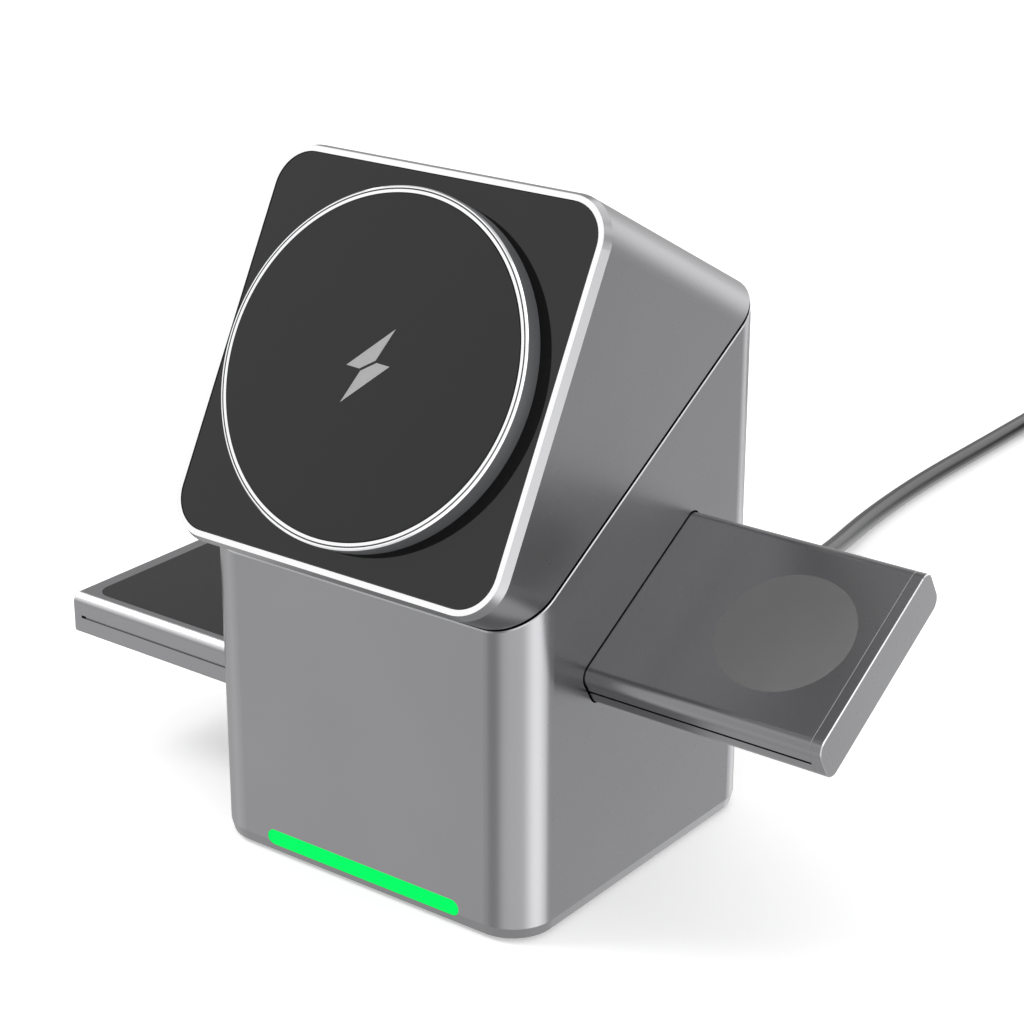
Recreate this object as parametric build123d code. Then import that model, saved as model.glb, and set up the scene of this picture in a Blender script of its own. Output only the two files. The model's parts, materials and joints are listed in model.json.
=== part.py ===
"""Folding wireless charger for a phone, an earbud case and a watch.

A square aluminium box is split by a sloping plane. The head turns half a turn on that plane, so
that its round phone pad either lies flat on top of the closed box or leans back as a stand. A tray
slides out of the left wall and a tilted arm out of the right wall.

Millimetres, +Z up, +X towards the arm, +Y towards the rear. The origin is the centre of the
underside of the foot pad. The charger is drawn open, with tray and arm pulled out.
"""
from build123d import *
import math
import os

os.makedirs("parts", exist_ok=True)

# Box
body_side = 64.0            # square plan of base and head
corner_radius = 7.5         # upright edges of base and head
foot_proud = 0.6            # the base stands this far off the table on its foot pad
front_height = 51.2         # base, from its lower edge to the split at the front
split_angle = 30.75         # rise of the split towards the rear, degrees
split_gap = 0.6             # shadow gap between base and head
split_chamfer = 0.15        # edges beside the shadow gap
thin_end = 9.3              # thickness of the head at its thin end
base_wall = 2.0
deck_thickness = 3.0        # sloping top of the base
base_edge = (0.45, 1.8)     # chamfer of the base's lower edge: inwards, up the wall
panel_fit = 0.1             # loose fit of plates dropped into the housings

# Bottom
cover_recess = 0.4
cover_thickness = 2.0
foot_inset = 0.7
boss_radius = 2.9
boss_inset = 3.4            # boss centre from the inner wall
cover_screw_radius = 1.05
cover_screw_length = 9.0
cover_head_radius = 2.2
cover_head_height = 1.2
guide_screw_radius = 1.0
guide_screw_length = 6.0
guide_head_radius = 1.9
guide_head_height = 1.3
board_screw_radius = 0.8
board_screw_length = 4.0
board_head_radius = 1.6
board_head_height = 1.0
screw_clearance = 0.2
ballast_size = (46.0, 26.0, 6.0)
ballast_y = -11.6
peg_radius = 2.5
peg_spread = 28.0

# Light strip
light_length = 39.2
light_height = 2.7
light_lift = 1.2            # above the base's lower edge
light_depth = 3.0
light_fit = 0.05
led_size = (3.2, 0.6, 1.4)
led_count = 6
led_pitch = 6.0
board_thin = 0.8
light_board_size = (38.0, 6.0)
clip_size = (3.0, 1.5, 4.0)
clip_spread = 30.0

# Main board and port
board_thickness = 1.6
main_board_size = (42.0, 25.6)
main_board_rear_gap = 0.4   # to the inner rear wall
power_coil_size = (7.0, 7.0, 4.0)
chip_size = (5.0, 5.0, 0.9)
driver_size = (6.0, 6.0, 0.9)
capacitor_radius = 2.4
capacitor_height = 5.5
post_radius = 2.2
post_spread = (34.0, 16.0)
port_height = 11.0          # centre of the port above the table
port_outer = (8.94, 3.26)
port_inner = (8.40, 2.62)
port_length = 7.4
port_recess = 0.6           # mouth behind the rear face
port_back = 0.6
port_tongue = (6.6, 4.8, 0.7)
port_cutout_margin = 0.35

# Tray
tray_reach = 41.4           # how far the tray stands out of the box
tray_width = 43.7
tray_thickness = 7.15
tray_height = 24.525        # mid plane above the table
tray_top_radius = 1.5
tray_bottom_radius = 0.8
tray_tail = 14.0            # length left inside the base
end_chamfer = 0.15          # edges of the outer ends of tray and arm
tray_pad_front = 2.5        # rim left at the outer end
tray_pad_side = 2.75        # rim left at the two sides
tray_pad_back = 2.5         # distance of the pad from the base's wall
tray_pad_radius = 3.2
tray_pad_thickness = 1.2
tray_coil_outer = 17.0
tray_coil_inner = 6.0
tray_coil_thickness = 1.6
tray_ferrite_thickness = 0.8
coil_room = 1.0             # radial room around a coil

# Arm
arm_reach = 41.0            # how far the arm stands out of the box
arm_width = 35.0
arm_thickness = 7.5
arm_radius = 2.0
arm_shift = -0.75           # centre of its section from the middle of the box
arm_tail = 14.0
arm_wall = 1.5
arm_side_wall = 2.2
arm_cap_thickness = 1.8
arm_seam = 0.12             # chamfer of the sleeve at the cap
arm_tongue = (6.0, 2.2)
arm_tongue_fit = 0.1
watch_from_end = 15.1       # centre of the watch disc from the arm's end
watch_disc_radius = 10.9
watch_flange = 1.3
watch_flange_thickness = 0.9
watch_magnet_radius = 4.0
watch_coil_radius = 11.5
watch_ferrite_thickness = 0.8

# Sliding fits of tray and arm
slide_gap = 0.25
groove_height = 0.5
groove_depth = 0.8
groove_end = 2.1            # groove stops short of the outer end
tray_groove_end = 1.9
tray_groove_drop = 0.25     # below the tray's mid plane
tray_groove_depth = 0.25
tray_notch = 0.8            # deep outer end of the tray's groove
lug_reach = 1.2
lug_length = 4.0
lug_height = 3.0
lug_clearance = 0.3         # to the wall when pulled out
guide_wall = 1.6
guide_end_room = 1.0
guide_spacing = 1.38        # between the two guides
leg_thickness = 2.4
leg_spread = 48.0
leg_width = 28.0

# Pivot
spindle_radius = 6.0
spindle_bore = 3.5
spindle_flange_radius = 9.0
spindle_flange_thickness = 1.5
spindle_end = 1.2           # thread past the nut
running_clearance = 0.05
bush_wall = 1.5
bush_flange_radius = 11.0
bush_flange_thickness = 0.5
spring_inner_radius = 6.5
spring_outer_radius = 11.0
spring_thickness = 0.4
spring_rise = 1.0
thrust_thickness = 1.0
thrust_radius = 10.5
thrust_clearance = 0.05
nut_across_flats = 18.0
nut_height = 3.0
stop_radius = 15.0          # stop pin from the pivot's axis
stop_pin_radius = 1.2
stop_pin_clearance = 0.1
stop_groove_depth = 2.0
stop_pin_reach = 1.6        # below the top of the deck

# Head
head_wall = 3.0
head_floor = 2.5
rim_width = 1.5             # rim around the glass panel
rim_chamfer = (0.6, 1.5)    # across the rim, down the side
panel_thickness = 1.5
panel_recess = 0.15
panel_hole = 5.0
head_board_size = (44.0, 26.0)
head_board_depth = 14.0     # below the rim
head_board_shift = 14.0     # towards the thick end
head_post_spread = (36.0, 18.0)

# Phone puck
puck_height = 3.3           # above the rim
puck_radius = 27.6
puck_ring_wall = 1.26
puck_ring_drop = 0.1        # ring below the top disc
puck_chamfer = 0.2
puck_base_thickness = 0.7
puck_top_thickness = 1.0
magnet_inner = 21.4
magnet_outer = 25.6
magnet_count = 16
magnet_gap_angle = 4.5
ferrite_radius = 20.5
ferrite_thickness = 0.6
coil_outer = 20.0
coil_inner = 7.0
mark_depth = 0.3

# Lead
cord_diameter = 4.0
plug_gap = 0.3              # plug body to the base's rear face
plug_shell_size = (8.25, 2.40)
plug_shell_wall = 0.3
plug_shell_length = 6.5
plug_body_size = (11.8, 22.0, 6.4)
plug_body_radius = 2.9
relief_length = 16.0
relief_start_radius = 2.9
relief_end_radius = 2.3
coil_centre = (11.4, 256.0)
coil_turn_radius = 26.0     # centre line of the outermost turn
coil_columns = 3
coil_layers = 2
coil_stub = 16.0
coil_margin = 0.05          # the coil's outline stands this far off its turns
far_plug_y = 170.0

# Worked out from the values above
half_side = body_side / 2
inner_half = half_side - base_wall
inner_radius = corner_radius - base_wall
base_low = foot_proud
cover_low = base_low + cover_recess
cover_top = cover_low + cover_thickness
split_slope = math.tan(math.radians(split_angle))
split_centre_height = base_low + front_height + half_side * split_slope
head_axis = half_side * split_slope + thin_end
tall = 2 * (split_centre_height + head_axis)


def leaning(angle, origin):
    """A frame along X whose normal leans forward by the angle from straight up."""
    turn = math.radians(angle)
    return Plane(origin=origin, x_dir=(1, 0, 0), z_dir=(0, -math.sin(turn), math.cos(turn)))


split_frame = leaning(split_angle, (0, 0, split_centre_height))
pad_normal = leaning(2 * split_angle, (0, 0, 0)).z_dir
pad_frame = leaning(2 * split_angle, Vector(0, 0, split_centre_height) + pad_normal * head_axis)
tray_frame = Plane(origin=(0, 0, tray_height))

gap_half = split_gap / 2
deck_low = -gap_half - deck_thickness
floor_high = gap_half + head_floor
guide_low = tray_height - tray_thickness / 2 - slide_gap - guide_wall
guide_high = tray_height + tray_thickness / 2 + slide_gap + guide_wall
sleeve_half = (arm_width / 2 + lug_reach + slide_gap + guide_wall,
               arm_thickness / 2 + slide_gap + guide_wall)
sleeve_drop = (sleeve_half[0] * math.sin(math.radians(split_angle))
               + sleeve_half[1] * math.cos(math.radians(split_angle)))
arm_height = guide_high + guide_spacing + sleeve_drop
arm_frame = leaning(split_angle, (0, arm_shift, arm_height))
boss_place = inner_half - boss_inset
port_face = half_side - port_recess
board_top = port_height - port_outer[1] / 2
watch_x = half_side + arm_reach - watch_from_end


def prism(width, radius, low, high):
    """An upright square prism with rounded edges."""
    return Pos(0, 0, low) * extrude(RectangleRounded(width, width, radius), high - low)


def block(x_range, y_range, z_range):
    """A box between three pairs of coordinates."""
    size = [high - low for low, high in (x_range, y_range, z_range)]
    return Pos(x_range[0], y_range[0], z_range[0]) * Box(*size, align=(Align.MIN,) * 3)


def rod(radius, low, high, x=0.0, y=0.0):
    """A round bar along Z."""
    return Pos(x, y, low) * extrude(Circle(radius), high - low)


def ring(outer, inner, low, high):
    """A flat ring around Z."""
    return Pos(0, 0, low) * extrude(Circle(outer) - Circle(inner), high - low)


def side(frame, level, above):
    """Everything above or below a level of a frame."""
    reach = 2 * tall
    low = level if above else level - reach
    return frame * block((-reach, reach), (-reach, reach), (low, low + reach))


def four_corners(x, y):
    """Four places around the origin."""
    return [(i * x, j * y) for i in (-1, 1) for j in (-1, 1)]


def edges_facing(solid, frame, level):
    """Outer edges of the flat face that lies on a level of a frame."""
    faces = [f for f in solid.faces() if abs(frame.to_local_coords(f.center()).Z - level) < 0.01
             and abs(abs(f.normal_at().dot(frame.z_dir)) - 1) < 0.001]
    return max(faces, key=lambda f: f.area).outer_wire().edges()


def stadium(width, height, low_y, high_y, x=0.0, z=0.0):
    """A bar along Y with a stadium section."""
    start = Plane(origin=(x, low_y, z), x_dir=(-1, 0, 0), z_dir=(0, 1, 0))
    return start * extrude(SlotOverall(width, height), high_y - low_y)


def slab(x_range, width, thickness, top_radius, bottom_radius, grow=0.0):
    """A flat bar along X with rounded long edges, centred on its frame."""
    half_width = width / 2 + grow
    half_height = thickness / 2 + grow
    bar = block(x_range, (-half_width, half_width), (-half_height, half_height))
    long_edges = bar.edges().filter_by(Axis.X).sort_by(Axis.Z)
    bar = fillet(long_edges[2:], top_radius + grow)
    return fillet(bar.edges().filter_by(Axis.X).sort_by(Axis.Z)[:2], bottom_radius + grow)


def grooves(x_range, width, depth):
    """The two shallow slots along the sides of a slab."""
    cut = None
    for edge in (-width / 2, width / 2):
        line = block(x_range, (edge - depth, edge + depth),
                     (-groove_height / 2, groove_height / 2))
        cut = line if cut is None else cut + line
    return cut


def base_block():
    """The base's outline with its chamfered lower edge, tall enough for the sloping cut."""
    outer = prism(body_side, corner_radius, base_low, tall)
    bottom = outer.faces().sort_by(Axis.Z)[0]
    return chamfer(bottom.outer_wire().edges(), base_edge[0], base_edge[1], reference=bottom)


def base_housing():
    """One-piece aluminium box, open below, closed above by the sloping deck."""
    outer = base_block() - side(split_frame, -gap_half, above=True)
    outer = chamfer(edges_facing(outer, split_frame, -gap_half), split_chamfer)
    cavity = prism(2 * inner_half, inner_radius, base_low - 1, tall)
    housing = outer - (cavity - side(split_frame, deck_low, above=True))
    for x, y in four_corners(boss_place, boss_place):
        housing += rod(boss_radius, cover_top, guide_low, x, y)
        housing -= rod(cover_screw_radius, cover_top, cover_top + cover_screw_length, x, y)
        housing -= rod(guide_screw_radius, guide_low - guide_screw_length, guide_low, x, y)
    wall = (inner_half - 1, half_side + 1)
    housing -= tray_frame * slab((-wall[1], -wall[0]), tray_width, tray_thickness,
                                 tray_top_radius, tray_bottom_radius, slide_gap)
    housing -= arm_frame * slab(wall, arm_width, arm_thickness, arm_radius, arm_radius, slide_gap)
    housing -= light_bar(light_fit, light_depth + 1)
    housing -= stadium(port_outer[0] + 2 * port_cutout_margin, port_outer[1] + 2 * port_cutout_margin,
                       wall[0], wall[1], z=port_height)
    housing -= split_frame * rod(spindle_radius + running_clearance + bush_wall, deck_low - 1, 0)
    return housing - stop_groove()


def stop_groove():
    """Half-turn groove in the deck for the head's stop pin."""
    reach = stop_pin_radius + stop_pin_clearance
    low = -gap_half - stop_groove_depth
    half_ring = ring(stop_radius + reach, stop_radius - reach, low, 0)
    half_ring -= block((-2 * stop_radius, 2 * stop_radius), (-2 * stop_radius, 0), (low - 1, 1))
    for x in (-stop_radius, stop_radius):
        half_ring += rod(reach, low, 0, x)
    return split_frame * half_ring


def light_bar(grow, depth):
    """The stadium bar that shows as the light strip, set into the front wall."""
    centre = base_low + light_lift + light_height / 2
    return stadium(light_length + 2 * grow, light_height + 2 * grow,
                   -half_side - (1 if grow else 0), -half_side + depth, z=centre)


def light_guide():
    """Diffusing bar, flush with the front wall and its lower chamfer."""
    return light_bar(0, light_depth) & base_block()


def light_board():
    """Narrow board with a row of light diodes behind the light strip."""
    front = -half_side + light_depth + led_size[1]
    board = block((-light_board_size[0] / 2, light_board_size[0] / 2), (front, front + board_thin),
                  (cover_top, cover_top + light_board_size[1]))
    for i in range(led_count):
        x = (i - (led_count - 1) / 2) * led_pitch
        board += block((x - led_size[0] / 2, x + led_size[0] / 2), (front - led_size[1], front),
                       (cover_top, cover_top + led_size[2]))
    return board


def bottom_cover():
    """Moulded plate that closes the base, with posts, pegs and clips for what stands on it."""
    cover = prism(2 * (inner_half - panel_fit), inner_radius - panel_fit, cover_low, cover_top)
    notch = light_length / 2 + screw_clearance
    cover -= block((-notch, notch), (-half_side, -half_side + light_depth + panel_fit), (0, cover_top + 1))
    for x, y in four_corners(boss_place, boss_place):
        cover -= rod(cover_screw_radius + screw_clearance, 0, cover_top + 1, x, y)
        cover -= rod(cover_head_radius + screw_clearance, 0, cover_low + cover_head_height, x, y)
    for x, y in main_board_posts():
        top = board_top - board_thickness
        cover += rod(post_radius, cover_top, top, x, y)
        cover -= rod(board_screw_radius, top - board_screw_length, top, x, y)
    for x in (-peg_spread / 2, peg_spread / 2):
        cover += rod(peg_radius, cover_top, cover_top + ballast_size[2], x, ballast_y)
    clip_front = -half_side + light_depth + led_size[1] + board_thin
    for x in (-clip_spread / 2, clip_spread / 2):
        cover += block((x - clip_size[0] / 2, x + clip_size[0] / 2), (clip_front, clip_front + clip_size[1]),
                       (cover_top, cover_top + clip_size[2]))
    return cover


def main_board_middle():
    """Distance of the main board's centre from the middle of the box."""
    return inner_half - main_board_rear_gap - main_board_size[1] / 2


def main_board_posts():
    """Places of the four posts under the main board."""
    return [(x, y + main_board_middle()) for x, y in four_corners(post_spread[0] / 2, post_spread[1] / 2)]


def foot_pad():
    """Soft sheet glued under the cover, over its screws."""
    inset = base_wall + foot_inset
    return prism(body_side - 2 * inset, corner_radius - inset, 0, cover_low)


def screw(radius, length, head_radius, head_height, head_low):
    """Screw with a pan head at the origin, pointing up or down."""
    if head_low:
        return rod(head_radius, 0, head_height) + rod(radius, head_height, head_height + length)
    return rod(head_radius, 0, head_height) + rod(radius, -length, 0)


def cover_screws():
    """Four screws from below through the cover into the bosses."""
    shank = cover_thickness - cover_head_height + cover_screw_length - 1
    one = screw(cover_screw_radius, shank, cover_head_radius, cover_head_height, True)
    return Compound([Pos(x, y, cover_low) * one for x, y in four_corners(boss_place, boss_place)])


def guide_screws():
    """Four screws from above through the tray guide into the bosses."""
    shank = guide_wall + guide_screw_length - 1
    one = screw(guide_screw_radius, shank, guide_head_radius, guide_head_height, False)
    top = guide_low + guide_wall
    return Compound([Pos(x, y, top) * one for x, y in four_corners(boss_place, boss_place)])


def board_screws():
    """Four small screws that hold the main board on its posts."""
    one = screw(board_screw_radius, board_screw_length + 1, board_head_radius, board_head_height, False)
    return Compound([Pos(x, y, board_top) * one for x, y in main_board_posts()])


def ballast_plate():
    """Steel plate on two pegs that keeps the loaded stand from tipping."""
    length, width, height = ballast_size
    plate = block((-length / 2, length / 2), (ballast_y - width / 2, ballast_y + width / 2),
                  (cover_top, cover_top + height))
    for x in (-peg_spread / 2, peg_spread / 2):
        plate -= rod(peg_radius, 0, tall, x, ballast_y)
    return plate


def chip(x, y, low, size):
    """A component on a board."""
    return Pos(x, y, low) * Box(*size, align=(Align.CENTER, Align.CENTER, Align.MIN))


def main_board():
    """Power board on the cover's posts, with coils, chips and the port's footprint."""
    width, depth = main_board_size
    y = main_board_middle()
    board = chip(0, y, board_top - board_thickness, (width, depth, board_thickness))
    for x, post_y in main_board_posts():
        board -= rod(board_screw_radius + screw_clearance, 0, tall, x, post_y)
    for side_sign, size in ((-1, chip_size), (1, driver_size)):
        board += chip(side_sign * width / 4, y, board_top, power_coil_size)
        board += chip(side_sign * width / 5, y - depth / 3, board_top, size)
    return board + rod(capacitor_radius, board_top, board_top + capacitor_height, 0, y - depth / 3)


def usb_port():
    """Metal receptacle on the main board with its contact tongue."""
    back = port_face - port_length
    shell = stadium(*port_outer, back, port_face, z=port_height)
    shell -= stadium(*port_inner, back + port_back, port_face + 1, z=port_height)
    width, length, thickness = port_tongue
    return shell + block((-width / 2, width / 2), (back + port_back / 2, back + port_back + length),
                         (port_height - thickness / 2, port_height + thickness / 2))


def softened_end(bar, sign, size):
    """Chamfers the edges of a slab's outer end."""
    faces = bar.faces().sort_by(Axis.X)
    end = faces[-1] if sign > 0 else faces[0]
    return chamfer(end.outer_wire().edges(), size)


def slider_lugs(width, sign):
    """Side lugs that catch behind the wall when the slider is pulled out."""
    near = inner_half - lug_clearance
    x_range = sorted((sign * near, sign * (near - lug_length)))
    reach = width / 2 + lug_reach
    return block(x_range, (-reach, reach), (-lug_height / 2, lug_height / 2))


def tray_pad_outline(low, high):
    """The rounded inlay on the tray, between two heights of the tray's frame."""
    outer_end = -half_side - tray_reach + tray_pad_front
    inner_end = -half_side - tray_pad_back
    length = inner_end - outer_end
    width = tray_width - 2 * tray_pad_side
    sheet = extrude(RectangleRounded(length, width, tray_pad_radius), high - low)
    return tray_frame * Pos((outer_end + inner_end) / 2, 0, low) * sheet


def tray_coil_place():
    """Frame of the tray's coil, under the middle of the pad, at the underside of the pad."""
    middle = -half_side - (tray_reach - tray_pad_front + tray_pad_back) / 2
    return tray_frame * Pos(middle, 0, tray_thickness / 2 - tray_pad_thickness)


def tray_body():
    """Machined aluminium slab with the pocket for pad, coil and ferrite."""
    x_range = (-half_side - tray_reach, -half_side + tray_tail)
    body = slab(x_range, tray_width, tray_thickness, tray_top_radius, tray_bottom_radius)
    body = softened_end(body, -1, end_chamfer)
    body += slider_lugs(tray_width, -1)
    groove_start = x_range[0] + tray_groove_end
    lower = Pos(0, 0, -tray_groove_drop)
    body -= lower * grooves((groove_start, -inner_half), tray_width, tray_groove_depth)
    body -= lower * grooves((groove_start, groove_start + tray_notch), tray_width, groove_depth)
    body = tray_frame * body
    body -= tray_pad_outline(tray_thickness / 2 - tray_pad_thickness, tray_thickness)
    stack = tray_coil_thickness + tray_ferrite_thickness
    return body - tray_coil_place() * rod(tray_coil_outer + coil_room, -stack, 0)


def tray_pad():
    """Soft inlay that the earbud case lies on, flush with the slab."""
    return tray_pad_outline(tray_thickness / 2 - tray_pad_thickness, tray_thickness / 2)


def tray_coil():
    return tray_coil_place() * ring(tray_coil_outer, tray_coil_inner, -tray_coil_thickness, 0)


def tray_ferrite():
    low = -tray_coil_thickness - tray_ferrite_thickness
    return tray_coil_place() * rod(tray_coil_outer + coil_room, low, -tray_coil_thickness)


def tray_guide():
    """Moulded frame screwed on the bosses; the tray slides in its channel."""
    guide = prism(2 * (inner_half - panel_fit), inner_radius - panel_fit, guide_low, guide_low + guide_wall)
    channel_half = tray_width / 2 + lug_reach + slide_gap
    outer_half = channel_half + guide_wall
    end = inner_half - panel_fit
    guide += block((-end, end), (-outer_half, outer_half), (guide_low, guide_high))
    corners = prism(2 * (inner_half - panel_fit), inner_radius - panel_fit, guide_low, guide_high)
    guide &= corners
    channel_end = -half_side + tray_tail + tray_reach + guide_end_room
    guide -= block((-half_side, channel_end), (-channel_half, channel_half),
                   (guide_low + guide_wall, guide_high - guide_wall))
    for x, y in four_corners(boss_place, boss_place):
        guide -= rod(guide_screw_radius + screw_clearance, guide_low - 1, guide_low + guide_wall + 1, x, y)
        guide -= rod(guide_head_radius + screw_clearance, guide_low + guide_wall, guide_high + 1, x, y)
    return guide


def arm_guide():
    """Tilted moulded sleeve for the arm, standing on the tray guide on two legs."""
    channel_half = sleeve_half[0] - guide_wall
    channel_height = sleeve_half[1] - guide_wall
    end = inner_half - panel_fit
    half_width, half_height = sleeve_half
    sleeve = arm_frame * block((-end, end), (-half_width, half_width), (-half_height, half_height))
    for x in (-leg_spread / 2, leg_spread / 2):
        leg = block((x - leg_thickness / 2, x + leg_thickness / 2), (-leg_width / 2, leg_width / 2),
                    (guide_high, arm_height + arm_width / 2))
        sleeve += leg - side(arm_frame, 0, above=True)
    channel_end = half_side - arm_tail - arm_reach - guide_end_room
    sleeve -= arm_frame * block((channel_end, half_side), (-channel_half, channel_half),
                                (-channel_height, channel_height))
    return sleeve


def arm_body():
    """Extruded aluminium sleeve of the arm, with the hole for the watch disc."""
    x_range = (half_side - arm_tail, half_side + arm_reach - arm_cap_thickness)
    body = slab(x_range, arm_width, arm_thickness, arm_radius, arm_radius)
    body = softened_end(body, 1, arm_seam)
    body += slider_lugs(arm_width, 1)
    hollow = (arm_width / 2 - arm_side_wall, arm_thickness / 2 - arm_wall)
    body -= block((x_range[0] - 1, x_range[1] + 1), (-hollow[0], hollow[0]), (-hollow[1], hollow[1]))
    body -= grooves((inner_half, half_side + arm_reach - groove_end), arm_width, groove_depth)
    body -= rod(watch_disc_radius, 0, arm_thickness, watch_x)
    return arm_frame * body


def arm_end_cap():
    """Plate that closes the arm, held by two tongues inside the sleeve."""
    low = half_side + arm_reach - arm_cap_thickness
    cap = slab((low, half_side + arm_reach), arm_width, arm_thickness, arm_radius, arm_radius)
    cap = softened_end(cap, 1, end_chamfer)
    length, width = arm_tongue
    far = arm_width / 2 - arm_side_wall - arm_tongue_fit
    high = arm_thickness / 2 - arm_wall - arm_tongue_fit
    for y_range in ((-far, -far + width), (far - width, far)):
        cap += block((low - length, low), y_range, (-high, high))
    return arm_frame * cap


def arm_stack(shape):
    """Puts a piece of the watch charger at its place in the arm."""
    return arm_frame * Pos(watch_x, 0, 0) * shape


arm_room = arm_thickness / 2 - arm_wall
watch_coil_low = -arm_room + watch_ferrite_thickness
watch_coil_high = arm_room - watch_flange_thickness


def watch_disc():
    """Disc that the back of the watch lies on, flush with the arm, with a flange under the wall."""
    disc = rod(watch_disc_radius, arm_room, arm_thickness / 2)
    return arm_stack(disc + rod(watch_disc_radius + watch_flange, watch_coil_high, arm_room))


def watch_coil():
    return arm_stack(ring(watch_coil_radius, watch_magnet_radius + running_clearance,
                          watch_coil_low, watch_coil_high))


def watch_magnet():
    return arm_stack(rod(watch_magnet_radius, watch_coil_low, watch_coil_high))


def watch_ferrite():
    return arm_stack(rod(watch_coil_radius, -arm_room, watch_coil_low))


def head_housing():
    """Machined aluminium wedge with a chamfered rim, open towards the pad."""
    outer = prism(body_side, corner_radius, -tall, 0)
    top = outer.faces().sort_by(Axis.Z)[-1]
    outer = chamfer(top.outer_wire().edges(), rim_chamfer[0], rim_chamfer[1], reference=top)
    outer = pad_frame * outer - side(split_frame, gap_half, above=False)
    outer = chamfer(edges_facing(outer, split_frame, gap_half), split_chamfer)
    cavity = prism(body_side - 2 * head_wall, corner_radius - head_wall, -tall, 1)
    housing = outer - (pad_frame * cavity - side(split_frame, floor_high, above=False))
    housing -= pad_frame * prism(body_side - 2 * rim_width, corner_radius - rim_width,
                                 -panel_recess - panel_thickness, 1)
    for x, y in head_post_places():
        top = -head_board_depth - board_thickness
        post = pad_frame * rod(post_radius, -tall, top, x, y)
        housing += post - side(split_frame, gap_half + head_floor / 2, above=False)
        housing -= pad_frame * rod(board_screw_radius, top - board_screw_length, top, x, y)
    housing -= split_frame * rod(spindle_radius, 0, floor_high + 1)
    return housing - split_frame * rod(stop_pin_radius, 0, floor_high + 1, stop_radius)


def head_post_places():
    """Places of the four posts under the head's board."""
    half_x, half_y = head_post_spread[0] / 2, head_post_spread[1] / 2
    return [(x, y + head_board_shift) for x, y in four_corners(half_x, half_y)]


def head_board():
    """Driver board of the phone coil, on the posts of the wedge."""
    width, depth = head_board_size
    y = head_board_shift
    board = chip(0, y, -head_board_depth - board_thickness, (width, depth, board_thickness))
    for x, post_y in head_post_places():
        board -= rod(board_screw_radius + screw_clearance, -tall, 0, x, post_y)
    board += chip(-width / 4, y + depth / 8, -head_board_depth, driver_size)
    board += chip(0, y - depth / 6, -head_board_depth, chip_size)
    board += chip(width / 4, y + depth / 8, -head_board_depth, power_coil_size)
    return pad_frame * board


def head_board_screws():
    """Four small screws that hold the head's board on its posts."""
    one = screw(board_screw_radius, board_screw_length + 1, board_head_radius, board_head_height, False)
    return Compound([pad_frame * Pos(x, y, -head_board_depth) * one for x, y in head_post_places()])


def face_panel():
    """Dark glass panel set in the rim, with a hole for the puck's lead."""
    inset = rim_width + panel_fit
    low = -panel_recess - panel_thickness
    panel = prism(body_side - 2 * inset, corner_radius - inset, low, -panel_recess)
    return pad_frame * (panel - rod(panel_hole, -tall, 1))


puck_inner = puck_radius - puck_ring_wall
puck_floor = puck_base_thickness - panel_recess
puck_ceiling = puck_height - puck_top_thickness


def puck_ring():
    """Turned aluminium ring around the puck, with a polished chamfer."""
    body = ring(puck_radius, puck_inner, -panel_recess, puck_height - puck_ring_drop)
    outer_edge = body.edges().filter_by(GeomType.CIRCLE).group_by(Axis.Z)[-1].sort_by(SortBy.RADIUS)[-1]
    return pad_frame * chamfer(outer_edge, puck_chamfer)


def puck_base():
    """Moulded carrier glued on the panel, under the magnets and the ferrite."""
    return pad_frame * rod(puck_inner, -panel_recess, puck_floor)


def puck_magnets():
    """Ring of magnets that holds the phone."""
    whole = ring(magnet_outer, magnet_inner, puck_floor, puck_ceiling)
    pitch = 360 / magnet_count
    half_arc = math.radians((pitch - magnet_gap_angle) / 2)
    reach = 2 * magnet_outer
    tip = (reach * math.cos(half_arc), reach * math.sin(half_arc))
    wedge = extrude(Polygon((0, 0), (tip[0], -tip[1]), tip, align=None), puck_height)
    segment = whole & wedge
    return Compound([pad_frame * Rot(0, 0, i * pitch) * segment for i in range(magnet_count)])


def phone_ferrite():
    return pad_frame * rod(ferrite_radius, puck_floor, puck_floor + ferrite_thickness)


def phone_coil():
    return pad_frame * ring(coil_outer, coil_inner, puck_floor + ferrite_thickness, puck_ceiling)


def charging_mark(low, high):
    """Plain lightning bolt in two halves, the common sign for charging."""
    half = [(-3.9, -0.6), (-1.4, -0.7), (1.1, 1.0), (3.0, 6.2)]
    upper = Polygon(*half, align=None)
    lower = Polygon(*[(-x, -y) for x, y in half], align=None)
    return [pad_frame * Pos(0, 0, low) * extrude(piece, high - low) for piece in (upper, lower)]


def puck_top():
    """Soft-touch disc that the phone leans on."""
    disc = pad_frame * rod(puck_inner, puck_ceiling, puck_height)
    for piece in charging_mark(puck_height - mark_depth, puck_height + 1):
        disc -= piece
    return disc


def charge_mark():
    return Compound(charging_mark(puck_height - mark_depth, puck_height))


def spindle():
    """Hollow steel spindle, riveted in the head; the head's leads pass through it."""
    shaft = ring(spindle_radius, spindle_bore, nut_low() - spindle_end, floor_high)
    flange = ring(spindle_flange_radius, spindle_bore, floor_high, floor_high + spindle_flange_thickness)
    return split_frame * (shaft + flange)


def pivot_bush():
    """Flanged plain bearing in the deck; its flange fills the shadow gap."""
    bore = spindle_radius + running_clearance
    sleeve = ring(bore + bush_wall, bore, deck_low, -gap_half)
    flange = ring(bush_flange_radius, bore, -gap_half, -gap_half + bush_flange_thickness)
    return split_frame * (sleeve + flange)


def disc_spring():
    """Conical spring under the deck that gives the turning friction."""
    low = deck_low - spring_rise
    with BuildPart() as spring:
        with BuildSketch(Plane.XZ):
            Polygon((spring_outer_radius, deck_low), (spring_outer_radius, deck_low - spring_thickness),
                    (spring_inner_radius, low - spring_thickness), (spring_inner_radius, low), align=None)
        revolve(axis=Axis.Z)
    return split_frame * spring.part


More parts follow.
